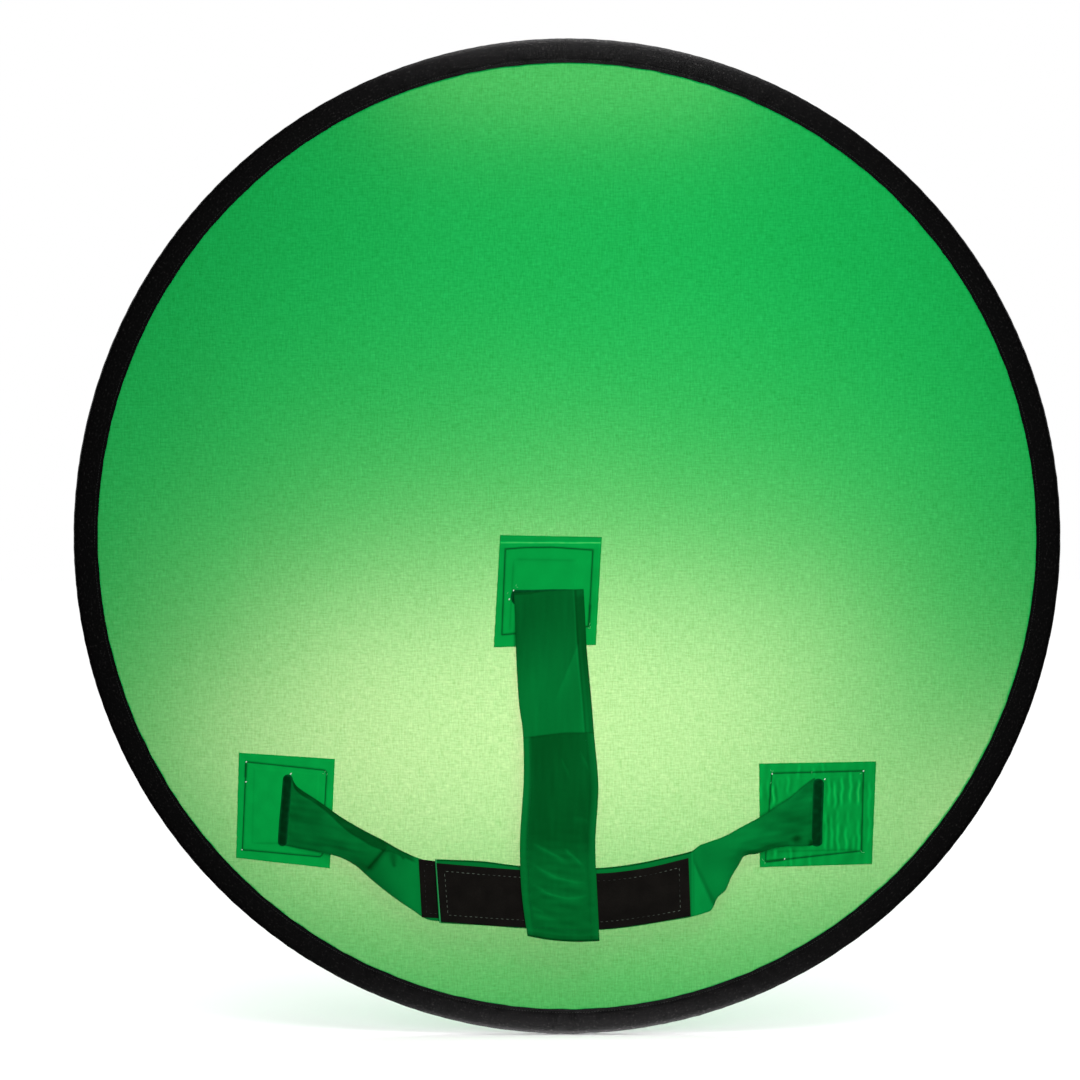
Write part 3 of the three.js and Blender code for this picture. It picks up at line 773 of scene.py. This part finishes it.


# ---- Straps
# A relief: height of the front above a plain layer, bow of the strap's middle, and painted shade (shadows of folds
# and doubled layers, light through single layers, highlights on creases), from x, z and the strap's own lengths along
# (s) and across (w).
def left_relief(x, z, s, w, width, length):
    free = smooth(-204.7, -220.7, x) * smooth(0, 8, s)
    reach = 6.0 + 1.2 * smooth(-352, -325, x) + 5.8 * smooth(-246, -262, x) * smooth(-345, -300, x)
    reach = reach + 0.7 * ripple(s, 0 * w, 86, 40, 5)
    band = smooth(1.8, -1.8, w - reach) * smooth(-396, -386, x) * smooth(-210, -222, x)
    side, along = line_distance(x, z, (-256.6, -442.2), (-279.1, -469.3))
    beyond = smooth(-0.15, 0.02, along) * smooth(1.25, 1.0, along)
    fold = smooth(0.9, -0.9, side) * np.exp(np.minimum(side, 0) / 26) * beyond
    spikes = 0
    for px, pz in ((-244.6, -468.8), (-231.5, -458.5)):
        off = x - px + 0.12 * (z - pz)
        spikes = spikes + bump_at(off, 1.8 + 0.26 * np.maximum(0, z - pz)) * smooth(pz - 1.5, pz + 3, z)
    spikes = spikes * smooth(4, 7, w)
    pleats = np.sin(w / width * 14 + 0.06 * s + 0.8) * smooth(0, 18, s) * smooth(-285, -330, x)
    waves = ripple(x + 0.8 * z, z, 81, 46, 7, (2.4, 0.8))
    fine = ripple(x + 0.5 * z, z, 84, 15, 8, (2.6, 0.8)) * smooth(-268, -300, x)
    height = free * (1.1 * band + 1.7 * fold + 0.7 * pleats + 0.55 * waves + 0.28 * fine + 0.9 * spikes)
    bow = 6.5 * smooth(-396, -330, x) * smooth(-212, -270, x)
    left_part = smooth(1.2, -1.2, side) * smooth(-250, -262, x)
    # painted shade: the doubled band under one edge, the cloth beyond the fold and the pointed folds are darker
    shade = 0.42 + 0.15 * left_part + 0.41 * band + 0.34 * np.clip(spikes, 0, 1) * (1 - band)
    # painted light: lighter towards the tape
    shade -= 0.11 * smooth(-240, -214, x) * smooth(-200, -206, x)
    # painted shade and light following the waves
    shade += free * (0.07 * waves + 0.06 * fine)
    # a painted shadow along the fold line, and a dark line along one edge
    wedge = bump_at(side, np.where(side > 0, 5.0, 3.4))
    shade += 0.46 * wedge * beyond * (1 - band) + 0.16 * bump_at(w - 1, 1.5)
    return height, bow, shade


def right_relief(x, z, s, w, width, length):
    free = smooth(180, 192, x) * smooth(0, 8, s)
    side, _ = line_distance(x, z, (176.2, -457.2), (204.7, -518.2))
    doubled = smooth(-1.0, 1.0, side) * smooth(176, 182, x)
    ridge = bump_at(side - 1.6, 3.0) * smooth(176, 186, x)
    pleats = np.sin(w / width * 13 - 0.05 * s + 2.0) * smooth(0, 18, s) * smooth(255, 300, x)
    waves = ripple(x - 0.8 * z, z, 82, 48, 7, (2.2, 0.8))
    fine = ripple(x - 0.5 * z, z, 85, 15, 8, (2.6, 0.8)) * smooth(215, 245, x)
    gather = bump_at(w - width * 0.42, 9) * smooth(225, 262, x) * smooth(345, 300, x)
    pinch = bump_at(x - 326, 7) * bump_at(z + 431, 6) + 0.8 * smooth(341, 348, x) * smooth(-430, -437, z)
    height = free * (0.8 * doubled + 1.2 * ridge + 0.6 * pleats + 0.5 * waves + 1.2 * gather + 0.25 * fine)
    height += 1.6 * pinch * smooth(0, 3, width - w)
    bow = 5.5 * smooth(349, 300, x) * smooth(196, 250, x)
    # painted shade: the doubled part darker, a painted shadow beside its fold, and shading following the waves
    shade = 0.02 + 0.34 * doubled + 0.09 * waves * free + 0.22 * bump_at(side - 2.2, 2.6) * smooth(176, 186, x)
    # painted shade towards the sewn end and on the small folds
    shade += 0.18 * smooth(245, 285, x) + 0.05 * fine
    # painted shadows of the pinched cloth by the sewn end and along the lower edge
    shade += 0.52 * pinch + 0.26 * smooth(9, 5.5, width - w) * smooth(322, 312, x) * smooth(246, 262, x)
    # a painted dark line along one edge
    shade += 0.14 * bump_at(w - 1, 1.5)
    # painted shade where it lies over the left strap, darkest along its edge
    shade += smooth(182, 176, x) * (0.52 + 0.45 * bump_at(w - 1.2, 1.2))  # where it lies on the left strap
    # painted highlights on the cut end, and a thin painted light line near where it starts to lie on the left strap
    shade -= 1.5 * smooth(length - 2.4, length - 1.8, s) * smooth(length, length - 0.3, s)
    shade -= 0.35 * bump_at(x - 177, 1.3)
    return height, bow, shade


WRINKLES = [  # ridges on the centre strap: start, bend, end, height
    ((-50.4, -433.4), (-24, -445), (1.1, -460.6), 1.3), ((-6, -440.4), (10, -451.2), (25.2, -467.7), 1.3),
    ((-50.4, -462.6), (-10, -487.7), (29.3, -490), 1.5), ((-48.4, -490.9), (-10, -519.6), (31.3, -505.9), 1.6),
    ((-49.8, -532.8), (-34, -539.7), (-12, -541.7), 0.7), ((-52, -523), (-42, -529), (-30, -531), 0.6),
    ((-9.7, -313.4), (-3, -325), (3.7, -337.7), 0.5), ((18, -303), (25, -316), (31.3, -329.6), 0.6),
    ((6, -398), (18, -397), (31, -402), 0.4),
]


def ridge_height(x, z, start, bend, end, height):
    """A curved ridge, steep above and sloping below, that fades at its ends."""
    t = (x - start[0]) / (end[0] - start[0])
    level = start[1] * (1 - t) ** 2 + 2 * bend[1] * t * (1 - t) + end[1] * t ** 2
    inside = smooth(-0.05, 0.3, t) * smooth(1.05, 0.7, t)
    steep = np.where(z > level, 2.2, 7.0)
    return height * np.exp(-((z - level) / steep) ** 2) * inside


def centre_relief(x, z, s, w, width, length):
    edge = edge_distance(w, width, s, length)
    seam_z = -278.3 - 7.2 * np.clip(-x / 60, 0, 1.1) ** 1.2
    taped = smooth(seam_z + 0.8, seam_z - 0.8, z)
    over_tape = taped * smooth(8.8, 10.2, w) * smooth(8.8, 10.2, width - w)
    hem = smooth(length - 9.3, length - 8.6, s)
    side_band = smooth(12.0, 11.2, w) * smooth(4, 14, s)
    crinkle = ripple(x, z, 91, 9, 9, (1, 9))
    small = ripple(x, z, 93, 13, 9, (2.2, 1))
    broad = ripple(x, z, 92, 60, 6, (0.9, 2.5))
    ridges = sum(ridge_height(x, z, *row) for row in WRINKLES)
    slant, _ = line_distance(x, z, (26, -128), (2, -186))
    crease = smooth(-1.5, 1.5, slant) * np.exp(-np.maximum(slant, 0) / 16)
    crease = crease * smooth(-112, -140, z) * smooth(-250, -190, z)
    keep = smooth(0, 14, s) * smooth(0, 6, edge)
    height = 0.5 * side_band + 0.7 * hem + 0.4 * over_tape
    inner = (0.22 * small * smooth(-400, -450, z) + ridges) * smooth(0, 12, edge)
    height += keep * (0.07 * crinkle + 0.35 * broad + inner)
    height += keep * (0.5 * crease + 0.10 * small) - 0.35 * bump_at(z - seam_z, 1.3)
    bow = 2.2 * smooth(20, 120, s) * smooth(-400, -330, z)
    # painted shade above the tape: darker near the top, lighter along the slanted crease, and a painted shadow wedge
    # at the top left under the sewn end
    upper = 0.86 - 0.26 * smooth(-100, -250, z) - 0.24 * crease * (1 - side_band)
    upper = upper + 0.6 * smooth(4.2, 1.8, s + 4.5 * smooth(-62, -20, x)) * (1 - side_band)
    # painted shade where the hook tape lies behind the cloth, fading lower down, and along one margin
    covered = taped * smooth(6, 13, width - w) * smooth(3, 13, w)
    lower = 0.62 + 0.35 * covered * (1 - 0.6 * smooth(-415, -470, z))
    lower = lower + 0.10 * smooth(9, 6, w) * smooth(-400, -300, z)
    shade = upper * (1 - taped) + lower * taped
    # painted shade along the side band and the outer edge
    outer = smooth(8.0, 5.5, w) * smooth(0, 30, s)
    shade += (0.14 * side_band + 0.10 * outer) * (1 - 0.8 * taped)
    # painted shade on the hem, the cut end and the small wrinkles
    shade += 0.08 * hem + 0.25 * smooth(length - 3.4, length - 2.6, s) + 0.015 * crinkle + 0.025 * broad
    # a painted dark line along the seam
    shade += 0.22 * bump_at(z - seam_z, 1.0)
    # a painted dark line beside the side band, with a lighter one further in
    shade += (0.20 * bump_at(w - 12.0, 1.3) - 0.18 * bump_at(w - 14.5, 1.0)) * (1 - taped)
    # painted highlights on the wrinkle ridges
    shade -= 0.19 * np.clip(ridges, 0, 2)
    return height, bow, shade


def add_strap(place, stations, relief, blend_from, blend_to, tip_drop=0.0):
    body, depth_at = STRAPS[place]
    x, z, s, w, width = strip_grid(stations, 380, 90)
    length = s[-1, 0]
    z = z - tip_drop * (1 - (2 * w / width - 1) ** 2) * smooth(length - 60, length, s)
    height, bow, shade = relief(x, z, s, w, width, length)
    edge = edge_distance(w, width, s, length)
    height = height + 0.3 + 0.6 * (1 - np.exp(-np.maximum(edge, 0) / 1.3))
    back = depth_at(x, z) + bow * np.sin(math.pi * np.clip(w / width, 0, 1))
    strap = shell(f"{place}_strap_cloth", x, z, back, back + np.maximum(height, 0.3), STRAP_NYLON,
                  np.clip(shade, -0.5, 1.2), (s, w))
    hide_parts(f"{place}_strap")
    start, end = (tuple(np.array([x, -depth_at(x, z), z]) * MM) for x, z in (blend_from, blend_to))
    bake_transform(strap)
    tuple(start)
    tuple(end)


# ---- Tapes
def add_tape(place, kind, stations, material, rows=220):
    """Loop tape lies on the front of its strap, hook tape on its back."""
    body, depth_at = STRAPS[place]
    name = f"{place}_{kind}_tape_pile"
    x, z, s, w, width = strip_grid(stations, rows, 60)
    edge = edge_distance(w, width, s, s[-1, 0])
    tufts = np.random.RandomState(len(name)).normal(0, 0.13, x.shape) + 0.10 * ripple(x, z, 95, 7, 8)
    pile = np.clip(0.35 + 0.75 * (1 - np.exp(-edge / 1.0)) + tufts * smooth(0, 2, edge), 0.3, 1.5)
    if kind == "loop":
        back = depth_at(x, z) + ON_CLOTH
        front = back + pile
    else:
        front = depth_at(x, z) - TAPE_LIFT + TAPE
        back = front - pile
    tape = shell(name, x, z, back, front, material, cloth=(s, w))
    stands_for(tape, f"{place}_{kind}_tape", body)


def tape_seam(stations, margins, depth_at, lift):
    """A closed row of points inside a tape, with margins at its long sides, start and end."""
    beside, before, after = margins
    x, z, s, _, width = strip_grid(stations, 200, 2)
    keep = (s[:, 0] > before) & (s[:, 0] < s[-1, 0] - after)
    share = (beside / width)[keep]
    edge = np.stack([x[keep], z[keep]], -1)
    inward = (edge[:, 1] - edge[:, 0]) * share
    first, second = edge[:, 0] + inward, edge[:, 1] - inward
    loop = np.concatenate([first, second[::-1], first[:1]])
    run = run_along(loop)
    even = np.linspace(0, run[-1], int(run[-1]))
    px, pz = (np.interp(even, run, loop[:, k]) for k in (0, 1))
    return np.stack([px, depth_at(px, pz) + lift, pz], 1)


def add_tape_seam(place, stations, lift, material, margins, size):
    body, depth_at = STRAPS[place]
    row = stitches(f"{place}_tape_stitches", [tape_seam(stations, margins, depth_at, lift)], size, material, seed=7)
    stands_for(row, f"{place}_tape_thread", body)


KNOTS = [  # bright ends of thread: x, z, direction in degrees, length, depth if not on a patch
    (-76.2, -77.6, 70, 2.2, ON_BAR), (-82.2, -90.4, 60, 2.4), (-457.5, -322, 70, 2.2), (-457.8, -350.5, 20, 2.4),
    (-393.6, -339.2, 30, 2.8, ON_BAR), (-463.3, -447.5, 200, 1.6), (292.6, -339.2, 100, 2.2),
    (422.8, -335.2, 20, 2.0), (367.3, -346.5, 60, 2.4, ON_BAR), (310.3, -460.4, 60, 2.2),
]
FRAYS = [  # fainter green ones
    (-72.5, -70.5, 60, 3.0), (-70.8, -73, 130, 2.4), (-85, -81.5, 80, 3.2), (33, -130.5, 250, 4.0),
    (30.5, -131.5, 300, 3.0), (32, -125.5, 90, 3.4), (-345, -336.2, 40, 3.4), (-347.5, -338.5, 150, 2.8),
    (-342.6, -340, 80, 3.0), (290.8, -334.5, 120, 3.0), (293.6, -335.8, 40, 2.6), (291, -352, 240, 2.6),
    (279.5, -462, 130, 5.0), (282.5, -466.5, 60, 3.6), (348.8, -337, 100, 3.4), (419.5, -449.5, 300, 4.2),
    (422.5, -451.5, 340, 3.6), (418.4, -338.5, 45, 3.0),
]

add_panel()
add_binding()
for patch_place in PATCHES:
    add_patch(patch_place)
    add_seam_bar(patch_place)
thread_ends("thread_knots", KNOTS, 1.7, PALE_THREAD)
thread_ends("thread_frays", FRAYS, 0.7, FRAYED_THREAD)

add_strap("left", LEFT_STATIONS, left_relief, (-393, -392), (-352, -415))
add_strap("right", RIGHT_STATIONS, right_relief, (347, -394), (306, -414))
add_strap("centre", CENTRE_STATIONS, centre_relief, (-28, -78), (-26, -128), tip_drop=4.0)
add_tape("left", "loop", LEFT_TAPE, LOOP_PILE)
add_tape("right", "loop", RIGHT_FRONT_TAPE, LOOP_PILE, rows=300)
add_tape("right", "hook", RIGHT_REAR_TAPE, HOOK_PILE)
add_tape("centre", "hook", CENTRE_TAPE, HOOK_PILE)
add_tape_seam("left", LEFT_TAPE, PILE_TOP, BLACK_THREAD, (6.5, 7.0, 6.5), LEFT_STITCH)
add_tape_seam("right", RIGHT_FRONT_TAPE, PILE_TOP, TAPE_THREAD, (10.5, 9.8, 14.0), RIGHT_STITCH)
add_tape_seam("centre", CENTRE_TAPE, ON_CLOTH, GREEN_THREAD, (6, 6, 6), CENTRE_STITCH)

for steel_node in ("steel_hoop", "hoop_ferrule"):
    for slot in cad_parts[steel_node].material_slots:
        slot.material = SPRING_STEEL


# ---- Stage, light and camera
FLOOR_HALF = 40.0
CAMERA_PLACE = (-0.0385, -3.64, -0.0057)
CAMERA_LENS, CAMERA_SENSOR = 85, 36


def add_floor():
    mesh = bpy.data.meshes.new("floor")
    low = cad_box[0].z - 0.001
    corners = [(x * FLOOR_HALF, y * FLOOR_HALF, low) for x, y in ((-1, -1), (1, -1), (1, 1), (-1, 1))]
    mesh.from_pydata(corners, [], [(0, 1, 2, 3)])
    look = Look("floor_paper", 0.9, Specular_IOR_Level=0.1)
    mesh.materials.append(look.material)
    seen = look.node("ShaderNodeLightPath").outputs["Is Camera Ray"]
    look.colour(look.mixed(seen, (0.06, 0.06, 0.06), (0.93, 0.93, 0.93)))
    put("floor", mesh)


def add_world():
    """White where the camera sees it, and nearly dark for everything else."""
    world = bpy.context.scene.world = bpy.data.worlds.new("studio")
    world.use_nodes = True
    nodes, link = world.node_tree.nodes, world.node_tree.links.new
    background, strength = nodes["Background"], nodes.new("ShaderNodeMapRange")
    background.inputs["Color"].default_value = (1, 1, 1, 1)
    strength.inputs["To Min"].default_value = 0.03
    link(nodes.new("ShaderNodeLightPath").outputs["Is Camera Ray"], strength.inputs["Value"])
    link(strength.outputs[0], background.inputs["Strength"])


def add_light(name, place, target, size, power, colour=(1, 1, 1), spread=None, only=None, shadows_of=None):
    data = bpy.data.lights.new(name, "AREA")
    data.shape = "RECTANGLE"
    data.size, data.size_y = size
    data.energy = power
    data.color = colour
    if spread:
        data.spread = math.radians(spread)
    light = put(name, data)
    light.location = place
    light.rotation_euler = (Vector(target) - Vector(place)).to_track_quat("-Z", "Y").to_euler()
    light.visible_camera = False
    light.light_linking.receiver_collection = only
    light.light_linking.blocker_collection = shadows_of


def group(name, piece, state="INCLUDE"):
    made = bpy.data.collections.new(name)
    made.objects.link(bpy.data.objects[piece])
    made.collection_objects[0].light_linking.link_state = state
    return made


def add_lights():
    panel = group("lit_from_behind", "panel_cloth_sheet")
    rim = group("lit_from_the_top", "rim_binding_sleeve")
    all_but_panel = group("lit_from_the_front", "panel_cloth_sheet", "EXCLUDE")
    add_light("key", (0.25, -1.15, 0.9), (0, 0, 0.3), (0.9, 0.9), 11.3)
    add_light("front", (0.12, -1.5, -0.22), (0, 0, -0.16), (1, 1), 23.5, only=all_but_panel)
    add_light("front_on_panel", (0.10, -1.38, -0.30), (0, 0, -0.24), (1, 1), 12.9, spread=130,
              only=panel, shadows_of=rim)
    green, warm = (1.0, 0.135, 0.270), (1.0, 0.32, 0.33)
    for name, x, y, z, size, power, colour in (
            ("middle", 0, 0.22, -0.30, (0.8, 0.4), 10.5, green), ("left", -0.42, 0.22, -0.30, (0.3, 0.1), 1.4, green),
            ("right", 0.65, 0.22, -0.42, (0.3, 0.1), 2.3, green), ("top", 0, 0.22, -0.18, (0.3, 0.1), 1.6, green),
            ("rim", 0, 0.12, 0.66, (0.5, 0.05), 0.35, warm)):
        add_light(f"glow_{name}", (x, y, z), (x, 0, z), size, power, colour, 150, only=panel)
    for end, up, power in (("top", 1, 9.2), ("bottom", -1, 10.4)):
        add_light(f"rim_{end}", (0.035, -0.08, 0.97 * up), (0.035, 0, 0.71 * up), (0.48, 0.04), power, spread=76,
                  only=rim, shadows_of=rim)
    for side, across in (("left", -1), ("right", 1)):
        add_light(f"rim_{side}", (2.2 * across, 1.3, 0.9), (0.4 * across, 0, 0), (1.2, 1.2), 200, only=rim)
    sun = bpy.data.lights.new("overhead", "SUN")
    sun.energy, sun.angle = 3.6, math.radians(70)
    put("overhead", sun).light_linking.receiver_collection = group("lit_from_above", "floor")
    add_light("rear", (0.6, 3.2, 1.6), (0, 0, 0), (2.0, 2.0), 6)


def add_camera():
    data = bpy.data.cameras.new("camera")
    data.lens, data.sensor_width = CAMERA_LENS, CAMERA_SENSOR
    camera = put("camera", data)
    camera.location = CAMERA_PLACE
    camera.rotation_euler = (math.pi / 2, 0, 0)
    bpy.context.scene.camera = camera


add_floor()
add_world()
add_lights()
add_camera()
bpy.context.scene.view_settings.view_transform = "Standard"
